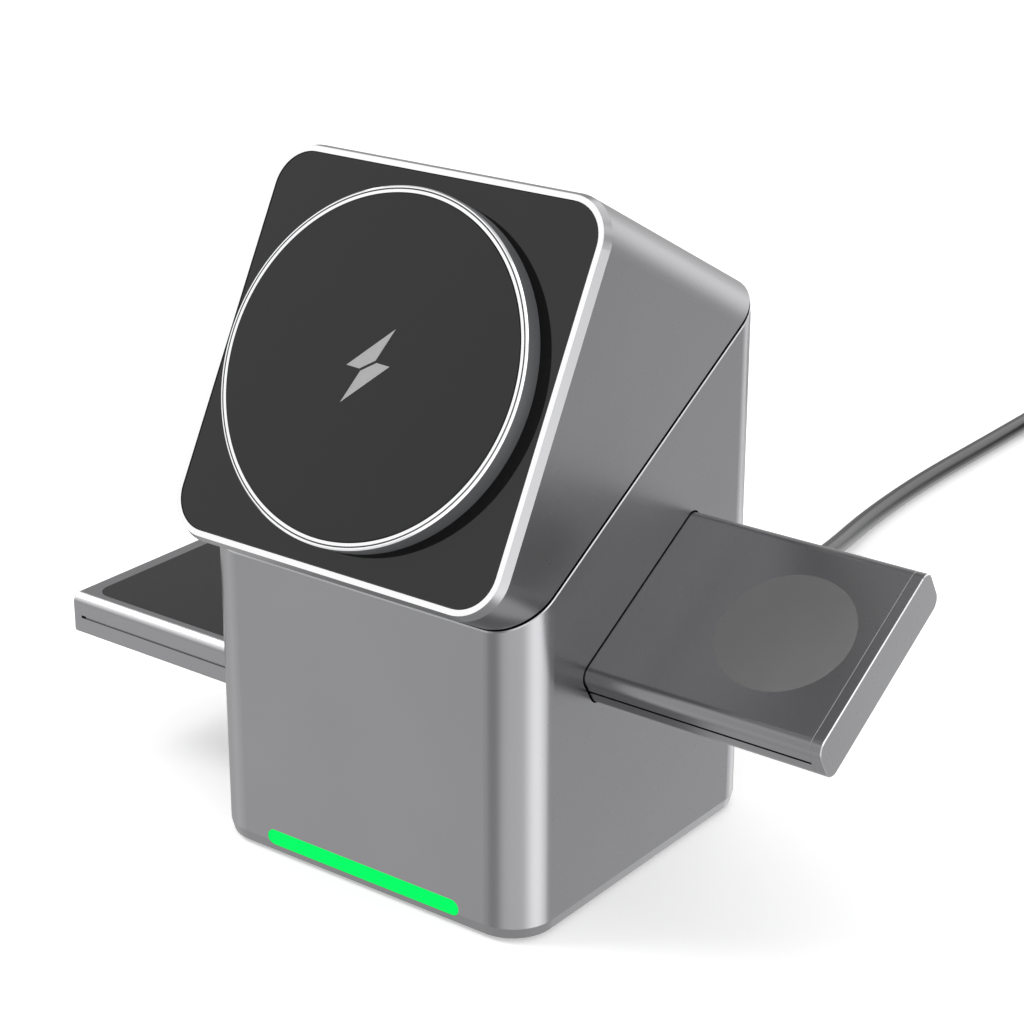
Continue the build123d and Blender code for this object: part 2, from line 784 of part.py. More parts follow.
def thrust_low():
    """Underside of the thrust washer in the split's frame."""
    return deck_low - spring_rise - spring_thickness - thrust_clearance - thrust_thickness


def nut_low():
    """Underside of the spindle nut in the split's frame."""
    return thrust_low() - nut_height


def thrust_washer():
    return split_frame * ring(thrust_radius, spindle_radius, thrust_low(), thrust_low() + thrust_thickness)


def spindle_nut():
    """Hexagon nut that closes the pivot."""
    hexagon = RegularPolygon(nut_across_flats / 2, 6, major_radius=False) - Circle(spindle_radius)
    return split_frame * Pos(0, 0, nut_low()) * extrude(hexagon, nut_height)


def stop_pin():
    """Pin in the head that runs in the deck's groove and ends the half turn."""
    return split_frame * rod(stop_pin_radius, -gap_half - stop_pin_reach, floor_high, stop_radius)


plug_face = half_side + plug_gap
plug_places = {"": (0.0, plug_face, port_height),
               "far_": (coil_centre[0] + coil_turn_radius, far_plug_y, plug_body_size[2] / 2)}


def plug_shell(place):
    """Metal tube of a plug, open at its mouth."""
    shell = stadium(*plug_shell_size, -plug_shell_length, 0)
    inner = [size - 2 * plug_shell_wall for size in plug_shell_size]
    return Pos(*place) * (shell - stadium(*inner, -plug_shell_length - 1, -plug_shell_wall))


def plug_body(place):
    """Moulded grip of a plug."""
    width, length, height = plug_body_size
    body = block((-width / 2, width / 2), (0, length), (-height / 2, height / 2))
    return Pos(*place) * fillet(body.edges().filter_by(Axis.Y), plug_body_radius)


def strain_relief(place):
    """Tapered sleeve between a plug's grip and the lead."""
    start = Plane(origin=(0, plug_body_size[1], 0), x_dir=(1, 0, 0), z_dir=(0, 1, 0))
    taper = Cone(relief_start_radius, relief_end_radius, relief_length,
                 align=(Align.CENTER, Align.CENTER, Align.MIN))
    return Pos(*place) * (start * taper)


def relief_tip(place):
    """Where the lead leaves a plug's strain relief."""
    x, y, z = place
    return (x, y + plug_body_size[1] + relief_length, z)


cord_rest = cord_diameter / 2 + coil_margin
coil_left = coil_centre[0] - coil_turn_radius
coil_right = coil_centre[0] + coil_turn_radius
coil_height = cord_diameter * coil_layers + 2 * coil_margin
coil_top_layer = coil_height - cord_rest
# The lead drops from the plug to the table, drifts a little to the left and runs straight back
cord_route = [
    relief_tip(plug_places[""]),
    (0.0, 86.0, port_height),
    (-3.2, 104.0, 7.4),
    (-8.4, 126.0, 3.3),
    (-13.2, 151.0, cord_rest),
    (-14.9, 178.0, cord_rest),
    (coil_left, 209.5, cord_rest),
    (coil_left, coil_centre[1] - coil_stub, cord_rest),
]
# The end comes off the top of the coil and drops to the second plug
tail_route = [
    (coil_right, coil_centre[1] - coil_stub, coil_top_layer),
    (coil_right, 231.0, coil_top_layer),
    (coil_right, 218.0, plug_places["far_"][2]),
    relief_tip(plug_places["far_"]),
]


def route_radii(route):
    """Arc radius at each inner point: 0.45 of the shorter run over the tangent of half the turn."""
    points = [Vector(*p) for p in route]
    radii = []
    for before, here, after in zip(points, points[1:], points[2:]):
        turn = math.radians((here - before).get_angle(after - here))
        shorter = min((here - before).length, (after - here).length)
        radii.append(0.45 * shorter / math.tan(turn / 2))
    return radii


def tube(route, name):
    """The lead along a route of straight runs joined by tangent arcs."""
    radii = route_radii(route)
    path = FilletPolyline(*route, radius=radii)
    section = Plane(origin=path @ 0, z_dir=path % 0) * Circle(cord_diameter / 2)
    solid = sweep(section, path=path)
    print(name, "length", round(path.length, 1), "radii", [round(r, 1) for r in radii])
    print(name, "volume over section times length", round(solid.volume / (section.area * path.length), 4))
    return solid


def cord_coil():
    """The spare length wound into a flat coil, as one solid with its two ends."""
    outer = coil_turn_radius + cord_rest
    inner = outer - coil_columns * cord_diameter - 2 * coil_margin
    x, y = coil_centre
    coil = Pos(x, y, 0) * ring(outer, inner, 0, coil_height)
    for stub_x, height in ((coil_left, cord_rest), (coil_right, coil_top_layer)):
        start = Plane(origin=(stub_x, y - coil_stub, height), x_dir=(1, 0, 0), z_dir=(0, 1, 0))
        coil += start * extrude(Circle(cord_diameter / 2), coil_stub)
    return coil


nodes = {
    "base_housing": base_housing(),
    "bottom_cover": bottom_cover(),
    "foot_pad": foot_pad(),
    "cover_screws": cover_screws(),
    "guide_screws": guide_screws(),
    "ballast_plate": ballast_plate(),
    "light_guide": light_guide(),
    "light_board": light_board(),
    "main_board": main_board(),
    "board_screws": board_screws(),
    "usb_port": usb_port(),
    "tray_guide": tray_guide(),
    "arm_guide": arm_guide(),
    "pivot_bush": pivot_bush(),
    "disc_spring": disc_spring(),
    "tray_body": tray_body(),
    "tray_pad": tray_pad(),
    "tray_coil": tray_coil(),
    "tray_ferrite": tray_ferrite(),
    "arm_body": arm_body(),
    "arm_end_cap": arm_end_cap(),
    "watch_disc": watch_disc(),
    "watch_coil": watch_coil(),
    "watch_magnet": watch_magnet(),
    "watch_ferrite": watch_ferrite(),
    "head_housing": head_housing(),
    "face_panel": face_panel(),
    "head_board": head_board(),
    "head_board_screws": head_board_screws(),
    "puck_ring": puck_ring(),
    "puck_base": puck_base(),
    "puck_top": puck_top(),
    "charge_mark": charge_mark(),
    "puck_magnets": puck_magnets(),
    "phone_ferrite": phone_ferrite(),
    "phone_coil": phone_coil(),
    "spindle": spindle(),
    "thrust_washer": thrust_washer(),
    "spindle_nut": spindle_nut(),
    "stop_pin": stop_pin(),
    "cord": tube(cord_route, "cord"),
    "cord_tail": tube(tail_route, "cord_tail"),
    "cord_coil": cord_coil(),
}
for prefix, place in plug_places.items():
    nodes[prefix + "plug_shell"] = plug_shell(place)
    nodes[prefix + "plug_body"] = plug_body(place)
    nodes[prefix + "strain_relief"] = strain_relief(place)

for name, shape in nodes.items():
    export_step(shape, f"parts/{name}.step")
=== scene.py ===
import json
import math

import bpy
from mathutils import Matrix, Vector


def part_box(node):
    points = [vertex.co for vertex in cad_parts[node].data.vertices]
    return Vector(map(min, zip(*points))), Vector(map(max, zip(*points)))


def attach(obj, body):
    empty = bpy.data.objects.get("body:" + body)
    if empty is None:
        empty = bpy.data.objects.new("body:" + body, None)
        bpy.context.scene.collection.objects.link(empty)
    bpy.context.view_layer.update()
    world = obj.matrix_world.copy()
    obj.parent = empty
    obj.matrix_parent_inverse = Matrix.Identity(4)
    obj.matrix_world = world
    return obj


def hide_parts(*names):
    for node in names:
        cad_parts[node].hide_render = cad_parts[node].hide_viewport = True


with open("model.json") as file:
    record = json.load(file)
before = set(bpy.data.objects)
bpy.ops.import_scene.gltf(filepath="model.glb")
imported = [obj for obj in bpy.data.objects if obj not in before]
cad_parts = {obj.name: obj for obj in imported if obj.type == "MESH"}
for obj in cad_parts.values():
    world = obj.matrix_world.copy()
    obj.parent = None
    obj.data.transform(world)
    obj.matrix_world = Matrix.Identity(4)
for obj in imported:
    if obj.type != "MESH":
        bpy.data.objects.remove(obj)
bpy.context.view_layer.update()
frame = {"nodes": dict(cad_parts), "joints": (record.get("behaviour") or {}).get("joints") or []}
node = frame["nodes"]


# Camera
# It stands to the right of the charger and looks down on it, from the photograph's place.
camera = bpy.data.objects.new("camera", bpy.data.cameras.new("camera"))
bpy.context.scene.collection.objects.link(camera)
bpy.context.scene.camera = camera
camera.data.sensor_width = 36
camera.data.lens = 89.127
camera.data.clip_end = 30
right = Vector((0.79661829, 0.60447993, 0.00182151))
up = Vector((-0.22342668, 0.29164186, 0.93006749))
eye = (0.231002, -0.297524, 0.202884)
camera.matrix_world = Matrix.Translation(eye) @ Matrix((right, up, right.cross(up))).transposed().to_4x4()


# Lead
# Round two-core lead with a soft thermoplastic elastomer jacket, extruded, satin and almost black.
# It drops from the rear plug to the table, runs straight back, and its spare length is wound into
# a flat coil of two layers that ends in the second plug.
lead_diameter = 0.004
coil_x, coil_y = 0.0114, 0.256
turns_at = (0.026, 0.022, 0.018, 0.018, 0.022, 0.026)
low_layer, high_layer, plug_height = 0.00205, 0.00605, 0.0032
near_x, far_x, coil_start = coil_x - turns_at[0], coil_x + turns_at[-1], coil_y - 0.0052
steps = 16
lead_points = [(0, 0.0703, 0.011), (0, 0.086, 0.011), (-0.0032, 0.104, 0.0074), (-0.0084, 0.126, 0.0033),
               (-0.0132, 0.151, low_layer), (-0.0149, 0.178, low_layer), (near_x, 0.2095, low_layer),
               (near_x, 0.240, low_layer), (near_x, coil_start, low_layer)]


def eased(part, starts, takes):
    """A smooth rise from 0 to 1 over one stretch of a turn."""
    change = min(1, max(0, (part - starts) / takes))
    return change * change * (3 - 2 * change)


# Three turns wind inwards on the table and two and a half outwards on top of them. Each pair says where
# in its turn the lead starts to change over, and for how much of the turn it does.
inwards, upwards, outwards = (0.76, 0.22), (0.58, 0.19), (0.36, 0.20)
for k in range(5 * steps + steps // 2):
    turn, step = divmod(k + 0.5, steps)
    turn, part = int(turn), step / steps
    radius, height = turns_at[turn], low_layer if turn < 3 else high_layer
    if turn < 2:
        radius += (turns_at[turn + 1] - radius) * eased(part, *inwards)
    if turn == 2:
        height += (high_layer - low_layer) * eased(part, *upwards)
    if turn in (3, 4):
        radius += (turns_at[turn + 1] - radius) * eased(part, *outwards)
    angle = math.pi - 2 * math.pi * (k + 0.5) / steps
    radius /= math.cos(math.pi / steps)  # the curve runs inside its points
    lead_points.append((coil_x + radius * math.cos(angle), coil_y + radius * math.sin(angle), height))
lead_points += [(far_x, coil_start, high_layer), (far_x, 0.240, high_layer), (far_x, 0.231, high_layer),
                (far_x, 0.218, plug_height), (far_x, 0.208, plug_height)]
lead_curve = bpy.data.curves.new("lead", "CURVE")
lead_curve.dimensions = "3D"
lead_curve.bevel_depth = lead_diameter / 2
lead_curve.bevel_resolution = 6
lead_curve.resolution_u = 8
lead_line = lead_curve.splines.new("NURBS")
lead_line.points.add(len(lead_points) - 1)
for point, place in zip(lead_line.points, lead_points):
    point.co = (*place, 1)
lead_line.order_u = 3
lead_line.use_endpoint_u = True
lead = bpy.data.objects.new("lead", lead_curve)
bpy.context.scene.collection.objects.link(lead)


def linear(code):
    """A colour written as sRGB hex, as Blender wants it."""
    parts = [int(code[i:i + 2], 16) / 255 for i in (1, 3, 5)]
    return (*[c / 12.92 if c <= 0.04045 else ((c + 0.055) / 1.055) ** 2.4 for c in parts], 1)


def add(tree, kind, inputs=None, **settings):
    """One shader node with its settings, values and links."""
    made = tree.nodes.new("ShaderNode" + kind)
    for key, value in settings.items():
        setattr(made, key, value)
    for socket, value in (inputs or {}).items():
        if isinstance(value, bpy.types.NodeSocket):
            tree.links.new(value, made.inputs[socket])
        else:
            made.inputs[socket].default_value = value
    return made


def every(mm):
    """The scale of a pattern whose grains are so many millimetres across; none under 0.2 would show."""
    return 1000 / mm


def new_material(name):
    """An empty material, its node tree, its output and the object's own coordinates."""
    made = bpy.data.materials.new(name)
    made.use_nodes = True
    tree = made.node_tree
    tree.nodes.clear()
    return made, tree, add(tree, "OutputMaterial"), add(tree, "TexCoord").outputs["Object"]


def dress(material, *names):
    """The CAD nodes get this material all over."""
    for name in names:
        node[name].data.materials.clear()
        node[name].data.materials.append(material)


# Thermoplastic elastomer, extruded: a soft satin skin. Its drag marks are under 0.1 mm and are drawn
# at 0.4 mm; patches of 16 mm are rubbed a little paler and duller.
jacket, tree, output, place = new_material("elastomer_jacket")
drag = add(tree, "TexNoise", {"Vector": place, "Scale": every(0.4), "Detail": 2})
worn = add(tree, "TexNoise", {"Vector": place, "Scale": every(16), "Detail": 3})
tone = add(tree, "Mix", {0: worn.outputs["Fac"], 6: linear("#1f1f20"), 7: linear("#29292a")},
           data_type="RGBA")
gloss = add(tree, "MapRange", {"Value": worn.outputs["Fac"], "To Min": 0.27, "To Max": 0.38})
skin = add(tree, "Bump", {"Height": drag.outputs["Fac"], "Strength": 0.15, "Distance": 0.00004})
shader = add(tree, "BsdfPrincipled", {"Base Color": tone.outputs[2], "Roughness": gloss.outputs["Result"],
                                      "IOR": 1.5, "Normal": skin.outputs["Normal"]})
tree.links.new(shader.outputs[0], output.inputs[0])
lead_curve.materials.append(jacket)
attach(lead, "base")
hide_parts("cord", "cord_coil", "cord_tail")


# Floor and light
# Plain pale floor and three soft lamps under an even white sky. Metal mirrors a studio instead, with a
# dark flag at the front, wide boxes around it, three small ones hung high and one low at the right.
floor_reach, floor_drop, floor_glow = 4, 0.0002, 0.32
floor_mesh = bpy.data.meshes.new("floor")
floor_mesh.from_pydata([(x * floor_reach, y * floor_reach, -floor_drop)
                        for x, y in ((-1, -1), (1, -1), (1, 1), (-1, 1))], [], [(0, 1, 2, 3)])
floor = bpy.data.objects.new("floor", floor_mesh)
bpy.context.scene.collection.objects.link(floor)
floor.visible_glossy = False
pale, tree, output, place = new_material("pale_floor")
ray = add(tree, "LightPath")
seen = add(tree, "Math", {0: ray.outputs["Is Camera Ray"], 1: ray.outputs["Is Transmission Ray"]},
           operation="ADD", use_clamp=True)
lift = add(tree, "Math", {0: seen.outputs[0], 1: floor_glow}, operation="MULTIPLY")
shader = add(tree, "BsdfPrincipled", {"Base Color": linear("#f2f2f2"), "Roughness": 0.9,
                                      "Specular IOR Level": 0.1, "Emission Color": (1, 1, 1, 1),
                                      "Emission Strength": lift.outputs[0]})
tree.links.new(shader.outputs[0], output.inputs[0])
floor_mesh.materials.append(pale)


def levels(tree, value, stops, low, high):
    """A value turned into a brightness by stops from low to high."""
    top = max(level for at, level in stops)
    span = add(tree, "MapRange", {"Value": value, "From Min": low, "From Max": high})
    ramp = add(tree, "ValToRGB", {"Fac": span.outputs["Result"]})
    points = ramp.color_ramp.elements
    while len(points) < len(stops):
        points.new(0.5)
    for point, (at, level) in zip(points, stops):
        point.position = (at - low) / (high - low)
        point.color = (level / top, level / top, level / top, 1)
    return add(tree, "Math", {0: ramp.outputs["Color"], 1: top}, operation="MULTIPLY").outputs[0]


world = bpy.data.worlds.new("studio")
bpy.context.scene.world = world
world.use_nodes = True
tree = world.node_tree
tree.nodes.clear()
ray = add(tree, "LightPath")
toward = add(tree, "SeparateXYZ", {"Vector": add(tree, "TexCoord").outputs["Generated"]})
front = add(tree, "Math", {0: toward.outputs["Y"], 1: -1}, operation="MULTIPLY")
turn = add(tree, "Math", {0: toward.outputs["X"], 1: front.outputs[0]}, operation="ARCTAN2")
turn = add(tree, "Math", {0: turn.outputs[0]}, operation="DEGREES").outputs[0]
height = toward.outputs["Z"]

# The studio that metal mirrors: brightness by the angle around the charger, 0 in front and 90 at the
# right, and by the height of the look, from -1 straight down to 1 straight up
flag_and_boxes = ((-180, 1.65), (-172, 1.1), (-158, 0.65), (-128, 0.6), (-104, 0.75), (-80, 1.1),
                  (-72, 1.3), (-58, 1.3), (-49, 1.08), (-30, 1.08), (-20, 0.58), (0, 0.6), (12, 1.35),
                  (30, 1.5), (70, 1.5), (82, 3.1), (106, 3.1), (113, 0.6), (138, 0.74), (151, 0.72),
                  (158, 1.5), (165, 1.95), (174, 1.95))
box_fade = ((-0.4, 1), (-0.22, 0.88), (-0.12, 1), (0.2, 0.92), (0.4, 1))
box_height = ((-0.7, 0), (-0.56, 1), (0.6, 1), (0.72, 0))
table_and_ceiling = ((-1, 0.7), (-0.75, 0.85), (0.6, 0.4), (0.8, 0.2), (0.92, 0.2), (0.985, 0.9), (1, 1))
high_left = (((-126, 0), (-118, 3.2), (-62, 3.2), (-54, 0)), ((0.46, 0), (0.54, 1), (0.78, 1), (0.83, 0)))
high_right = (((60, 0), (76, 1.9), (124, 1.9), (136, 0)), ((0.64, 0), (0.72, 1), (0.95, 1), (0.99, 0)))
high_rear = (((-180, 2.4), (-164, 2.4), (-154, 0), (118, 0), (126, 2.4), (135, 2.4), (142, 0.5), (149, 2.4),
              (180, 2.4)), ((0.2, 0), (0.3, 1), (0.62, 1), (0.7, 0)))
low_right = (((54, 0), (70, 2.35), (120, 2.35), (128, 0)), ((-0.7, 0), (-0.56, 1), (-0.26, 1), (-0.14, 0)))
boxes = add(tree, "Math", {0: levels(tree, turn, flag_and_boxes, -180, 180),
                           1: levels(tree, height, box_fade, -1, 1)}, operation="MULTIPLY")
mirrored = add(tree, "Mix", {0: levels(tree, height, box_height, -1, 1),
                             2: levels(tree, height, table_and_ceiling, -1, 1),
                             3: boxes.outputs[0]}).outputs[0]
for sides, span in (high_left, high_right, high_rear, low_right):
    hung = add(tree, "Math", {0: levels(tree, turn, sides, -180, 180), 1: levels(tree, height, span, -1, 1)},
               operation="MULTIPLY")
    mirrored = add(tree, "Math", {0: mirrored, 1: hung.outputs[0]}, operation="MAXIMUM").outputs[0]
seen = add(tree, "Math", {0: ray.outputs["Is Camera Ray"], 1: ray.outputs["Is Transmission Ray"]},
           operation="ADD", use_clamp=True)
sky_level, white = 0.72, 1.0
level = add(tree, "MapRange", {"Value": seen.outputs[0], "To Min": sky_level, "To Max": white})
level = add(tree, "Mix", {0: ray.outputs["Is Glossy Ray"], 2: level.outputs["Result"], 3: mirrored})
studio = add(tree, "Background", {"Color": (1, 1, 1, 1), "Strength": level.outputs[0]})
tree.links.new(studio.outputs[0], add(tree, "OutputWorld").inputs[0])

lamps_aim = Vector((0, 0, 0.06))
for name, place, power, size in (("left_box", (-0.735, -0.424, 0.91), 6.0, 0.45),
                                 ("right_box", (0.95, -0.15, 0.45), 2.0, 0.8),
                                 ("top_box", (0.1, 0.3, 1.2), 3.0, 1.0)):
    lamp = bpy.data.objects.new(name, bpy.data.lights.new(name, "AREA"))
    bpy.context.scene.collection.objects.link(lamp)
    lamp.data.energy = power
    lamp.data.size = size
    lamp.visible_glossy = False
    lamp.location = place
    lamp.rotation_euler = (Vector(place) - lamps_aim).to_track_quat("Z", "Y").to_euler()


# Box and head
# Both halves of the body are milled from aluminium, bead-blasted and anodised grey.
# The blasting leaves pits of about 0.1 mm, drawn at 0.4 mm: they scatter the light a little unevenly.
blasted, tree, output, place = new_material("anodised_aluminium_bead_blasted")
pits = add(tree, "TexNoise", {"Vector": place, "Scale": every(0.4), "Detail": 1})
clouds = add(tree, "TexNoise", {"Vector": place, "Scale": every(25), "Detail": 2})
tone = add(tree, "Mix", {0: clouds.outputs["Fac"], 6: linear("#8a8a8c"), 7: linear("#919193")},
           data_type="RGBA")
gloss = add(tree, "MapRange", {"Value": pits.outputs["Fac"], "To Min": 0.265, "To Max": 0.3})
shader = add(tree, "BsdfPrincipled", {"Base Color": tone.outputs[2], "Metallic": 1.0,
                                      "Roughness": gloss.outputs["Result"]})
tree.links.new(shader.outputs[0], output.inputs[0])
dress(blasted, "base_housing", "head_housing", "tray_body", "arm_body", "arm_end_cap")


# Rim of the head
# After anodising, the rim's flat face is cut again with a diamond tool, which leaves bare bright metal.
# The narrow edges of the base under the head and of the arm's end are cut too, but come out duller.
# The marks of the tool are far finer than the 1.1 mm at which they are drawn.
cut_metal = []
for name, shade, smooth, rough in (("aluminium_diamond_cut", "#f6f6f7", 0.1, 0.2),
                                   ("aluminium_edge_cut", "#b4b4b6", 0.15, 0.22)):
    made, tree, output, place = new_material(name)
    swirl = add(tree, "TexNoise", {"Vector": place, "Scale": every(1.1), "Detail": 1})
    gloss = add(tree, "MapRange", {"Value": swirl.outputs["Fac"], "To Min": smooth, "To Max": rough})
    shader = add(tree, "BsdfPrincipled", {"Base Color": linear(shade), "Metallic": 1.0,
                                          "Roughness": gloss.outputs["Result"]})
    tree.links.new(shader.outputs[0], output.inputs[0])
    cut_metal.append(made)
bright, trimmed = cut_metal
split_angle = math.radians(30.75)
box_half, panel_height = 0.032, 0.0093
hinge = [j for j in frame["joints"] if j["name"] == "head_turn"][0]
pad_normal = Vector((0, -math.sin(2 * split_angle), math.cos(2 * split_angle)))
pad_centre = Vector(hinge["pos_m"]) + pad_normal * (box_half * math.tan(split_angle) + panel_height)
pad_frame = Matrix.Translation(pad_centre) @ Matrix.Rotation(2 * split_angle, 4, "X")
to_pad = pad_frame.inverted()


def paint(name, materials, pick):
    """The faces of a CAD node get these materials, chosen from a face's middle and normal."""
    mesh = node[name].data
    mesh.materials.clear()
    for material in materials:
        mesh.materials.append(material)
    for face in mesh.polygons:
        face.material_index = pick(face.center, face.normal)


split_normal = Vector(hinge["axis"])
gap_half, rim_slack, split_edge, cap_edge = 0.0003, 0.0001, 0.00015, 0.00015
side_on, face_on, nearly_face_on = 0.1, 0.99, 0.9
arm_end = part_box("arm_end_cap")[1][0]


def is_rim(middle, normal):
    return int((to_pad @ middle).z > -rim_slack and normal.dot(pad_normal) > nearly_face_on)


def is_split_edge(middle, normal):
    below = (Vector(hinge["pos_m"]) - middle).dot(split_normal)
    return int(below < gap_half + split_edge and normal.dot(split_normal) < face_on)


def is_cap_edge(middle, normal):
    return int(middle.x > arm_end - cap_edge and side_on < normal.x < face_on)


paint("head_housing", (blasted, bright), is_rim)
paint("base_housing", (blasted, trimmed), is_split_edge)
paint("arm_end_cap", (blasted, trimmed), is_cap_edge)

# On the tray's long upper edges a highlight is painted into the metal's colour: pale where the rounding
# faces up, fading back to the anodised grey as it turns to the side. Its roughness varies in streaks 0.7 mm
# wide.
highlight_painted_metal, tree, output, place = new_material("aluminium_painted_highlight")
highlight_starts, highlight_full = 0.2, 0.6
facing = add(tree, "SeparateXYZ", {"Vector": add(tree, "TexCoord").outputs["Normal"]})
highlight_share = add(tree, "MapRange", {"Value": facing.outputs["Z"], "From Min": highlight_starts,
                                 "From Max": highlight_full})
# painted highlight: pale satin grey where the rounding faces up, the anodised grey where it faces the side
tone = add(tree, "Mix", {0: highlight_share.outputs["Result"], 6: linear("#8e8e8f"), 7: linear("#dcdcde")},
           data_type="RGBA")
strokes = add(tree, "TexNoise", {"Vector": place, "Scale": every(0.7), "Detail": 1})
gloss = add(tree, "MapRange", {"Value": strokes.outputs["Fac"], "To Min": 0.25, "To Max": 0.31})
shader = add(tree, "BsdfPrincipled", {"Base Color": tone.outputs[2], "Metallic": 1.0,
                                      "Roughness": gloss.outputs["Result"]})
tree.links.new(shader.outputs[0], output.inputs[0])
upright, level_top = 0.05, 0.998
# the roundings along the tray's long upper edges take the painted highlight
paint("tray_body", (blasted, highlight_painted_metal),
      lambda middle, normal: int(abs(normal.x) < side_on and upright < normal.z < level_top))


# Glass panel
# Tempered glass, 1.5 mm, with a black print on its back, so that it looks dark grey and mirrors softly.
# Faint smears of about 14 mm are left on it by wiping.
panel, tree, output, place = new_material("tempered_glass_printed")
smear = add(tree, "TexNoise", {"Vector": place, "Scale": every(14), "Detail": 3})
gloss = add(tree, "MapRange", {"Value": smear.outputs["Fac"], "To Min": 0.03, "To Max": 0.07})
tone = add(tree, "Mix", {0: smear.outputs["Fac"], 6: linear("#0b0b0c"), 7: linear("#0f0f10")},
           data_type="RGBA")
shader = add(tree, "BsdfPrincipled", {"Base Color": tone.outputs[2], "Roughness": gloss.outputs["Result"],
                                      "IOR": 1.47})
tree.links.new(shader.outputs[0], output.inputs[0])
dress(panel, "face_panel")


# Ring of the phone pad
# Turned from aluminium: its flat face and its bevel are polished, with a fine groove between them, and
# its side is dull, with marks of 0.8 mm. A hairline joint runs between it and the soft disc.
def turned(name, profile, seat, steps):
    """A ring with this profile of (radius, height) points around its seat's Z axis."""
    points, faces = [], []
    for i in range(steps):
        angle = 2 * math.pi * i / steps
        points += [(r * math.cos(angle), r * math.sin(angle), h) for r, h in profile]
    count = len(profile)
    for i in range(steps):
        here, beyond = i * count, (i + 1) % steps * count
        for j in range(count):
            k = (j + 1) % count
            faces.append((here + j, beyond + j, beyond + k, here + k))
    mesh = bpy.data.meshes.new(name)
    mesh.from_pydata(points, [], faces)
    mesh.transform(seat)
    mesh.shade_smooth()
    mesh.set_sharp_from_angle(angle=math.radians(25))  # rounds stay smooth, corners stay sharp
    made = bpy.data.objects.new(name, mesh)
    bpy.context.scene.collection.objects.link(made)
    return made


ring_inner, ring_outer, ring_low, ring_top, ring_bevel = 0.02634, 0.0276, -0.00015, 0.0032, 0.0002
joint_width, joint_depth, groove_at, groove_width, groove_depth = 0.00016, 0.0006, 0.02698, 0.00022, 0.00025
ring_profile = [(ring_inner, ring_low), (ring_outer, ring_low), (ring_outer, ring_top - ring_bevel),
                (ring_outer - ring_bevel, ring_top), (groove_at + groove_width, ring_top),
                (groove_at + groove_width, ring_top - groove_depth), (groove_at, ring_top - groove_depth),
                (groove_at, ring_top), (ring_inner + joint_width, ring_top),
                (ring_inner + joint_width, ring_top - joint_depth), (ring_inner, ring_top - joint_depth)]
side_skin, tree, output, place = new_material("aluminium_side_dull")
drawn = add(tree, "TexNoise", {"Vector": place, "Scale": every(0.8), "Detail": 2})
tone = add(tree, "Mix", {0: drawn.outputs["Fac"], 6: linear("#5f6062"), 7: linear("#656668")},
           data_type="RGBA")
gloss = add(tree, "MapRange", {"Value": drawn.outputs["Fac"], "To Min": 0.5, "To Max": 0.6})
shader = add(tree, "BsdfPrincipled", {"Base Color": tone.outputs[2], "Metallic": 0.2,
                                      "Roughness": gloss.outputs["Result"]})
tree.links.new(shader.outputs[0], output.inputs[0])
pad_ring = turned("pad_ring", ring_profile, pad_frame, steps=256)
for material in (bright, side_skin):
    pad_ring.data.materials.append(material)
polished = (2, 3, 7)  # the bevel and the two faces, as they are counted along the profile
for face in pad_ring.data.polygons:
    face.material_index = int(face.index % len(ring_profile) not in polished)
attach(pad_ring, "head")
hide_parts("puck_ring")


# Face of the phone pad
# A disc of liquid silicone with a soft-touch skin, which holds the phone without scratching it; the
# tray's inlay is the same. The skin's grain is about 0.02 mm and is drawn at 0.2 mm.
soft, tree, output, place = new_material("liquid_silicone_soft_touch")
dust = add(tree, "TexNoise", {"Vector": place, "Scale": every(0.2), "Detail": 2})
rubbed = add(tree, "TexNoise", {"Vector": place, "Scale": every(20), "Detail": 3})
tone = add(tree, "Mix", {0: rubbed.outputs["Fac"], 6: linear("#1b1b1c"), 7: linear("#1f1f20")},
           data_type="RGBA")
gloss = add(tree, "MapRange", {"Value": rubbed.outputs["Fac"], "To Min": 0.5, "To Max": 0.6})
skin = add(tree, "Bump", {"Height": dust.outputs["Fac"], "Strength": 0.1, "Distance": 0.00003})
shader = add(tree, "BsdfPrincipled", {"Base Color": tone.outputs[2], "Roughness": gloss.outputs["Result"],
                                      "IOR": 1.41, "Normal": skin.outputs["Normal"]})
tree.links.new(shader.outputs[0], output.inputs[0])
dress(soft, "puck_top", "tray_pad")

# Silicone ink, printed through a mesh: flat grey with a fine unevenness of 0.7 mm
mark, tree, output, place = new_material("silicone_ink_grey")
uneven = add(tree, "TexNoise", {"Vector": place, "Scale": every(0.7), "Detail": 2})
tone = add(tree, "Mix", {0: uneven.outputs["Fac"], 6: linear("#9c9c9c"), 7: linear("#a5a5a5")},
           data_type="RGBA")
gloss = add(tree, "MapRange", {"Value": uneven.outputs["Fac"], "To Min": 0.45, "To Max": 0.6})
shader = add(tree, "BsdfPrincipled", {"Base Color": tone.outputs[2], "Roughness": gloss.outputs["Result"]})
tree.links.new(shader.outputs[0], output.inputs[0])
dress(mark, "charge_mark")


# Light strip
# Bar of diffusing polycarbonate in the front wall, lit green by the diodes behind it.
lit, tree, output, place = new_material("polycarbonate_lit_green")
haze = add(tree, "TexNoise", {"Vector": place, "Scale": every(4), "Detail": 2})
glow = add(tree, "MapRange", {"Value": haze.outputs["Fac"], "To Min": 0.97, "To Max": 1.03})
gloss = add(tree, "MapRange", {"Value": haze.outputs["Fac"], "To Min": 0.4, "To Max": 0.5})
shader = add(tree, "BsdfPrincipled", {"Base Color": linear("#00170a"), "Roughness": gloss.outputs["Result"],
                                      "Specular IOR Level": 0.02, "Emission Color": linear("#00fd66"),
                                      "Emission Strength": glow.outputs["Result"]})
tree.links.new(shader.outputs[0], output.inputs[0])
dress(lit, "light_guide")


